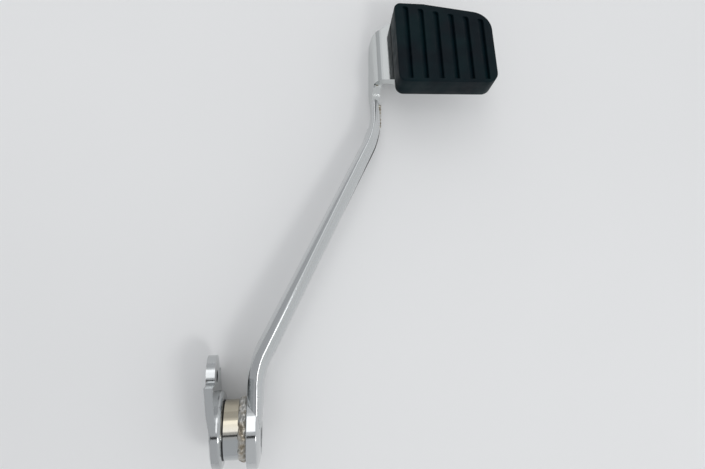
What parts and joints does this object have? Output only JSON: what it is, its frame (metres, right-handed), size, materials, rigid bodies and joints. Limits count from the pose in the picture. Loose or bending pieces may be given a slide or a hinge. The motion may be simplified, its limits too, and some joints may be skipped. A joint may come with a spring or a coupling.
{
  "type": "motorcycle foot brake pedal",
  "caption": "Chrome foot brake pedal for a motorcycle: cranked arm, pivot hub with lever plate, and a ribbed black rubber pad on a bent bracket.",
  "frame": {"origin": "On the pivot axis, inside the bore of the pivot collar.", "axes": "X runs along the pivot axis, outward, away from the motorcycle. Y runs along the arm, from the hub to the pad. Z points out of the pad's face."},
  "size_m": [0.1777, 0.2897, 0.0478],
  "materials": {
    "chrome": "bright chrome plate on a forged steel arm",
    "chrome_lever": "bright chrome plate on the lever plate",
    "chrome_bracket": "bright chrome plate on bent plate",
    "nickel_tube": "warm nickel plate on turned tube",
    "weld": "plated weld bead, uneven, with brown heat tint",
    "bronze": "oil-filled sintered bronze, satin",
    "seal_rubber": "black seal rubber, satin",
    "zinc_steel": "zinc plated steel",
    "collar_steel": "ground steel collar, oiled",
    "spring_steel": "blackened spring steel",
    "pad_rubber": "moulded black rubber, slightly worn satin"
  },
  "bodies": {
    "pivot": {"pivot_collar": "collar_steel", "thrust_washer": "bronze", "snap_ring": "spring_steel"},
    "pedal": {"pedal_arm": "chrome", "hub_tube": "nickel_tube", "hub_weld": "weld", "lever_plate": "chrome_lever", "lever_weld": "weld", "seam_seal": "seal_rubber", "inboard_bushing": "bronze", "outboard_bushing": "bronze", "inboard_seal": "seal_rubber", "outboard_seal": "seal_rubber", "grease_fitting": "zinc_steel", "pad_bracket": "chrome_bracket", "bracket_weld": "weld", "pad_plate": "zinc_steel", "pad_studs": "zinc_steel", "pad_washers": "zinc_steel", "pad_nuts": "zinc_steel", "rubber_pad": "pad_rubber"}
  },
  "joints": [
    {"name": "pedal_pivot", "type": "hinge", "parent": "pivot", "child": "pedal", "pos_m": [0, 0, 0], "axis": [1, 0, 0], "range_deg": [0, 22]}
  ]
}
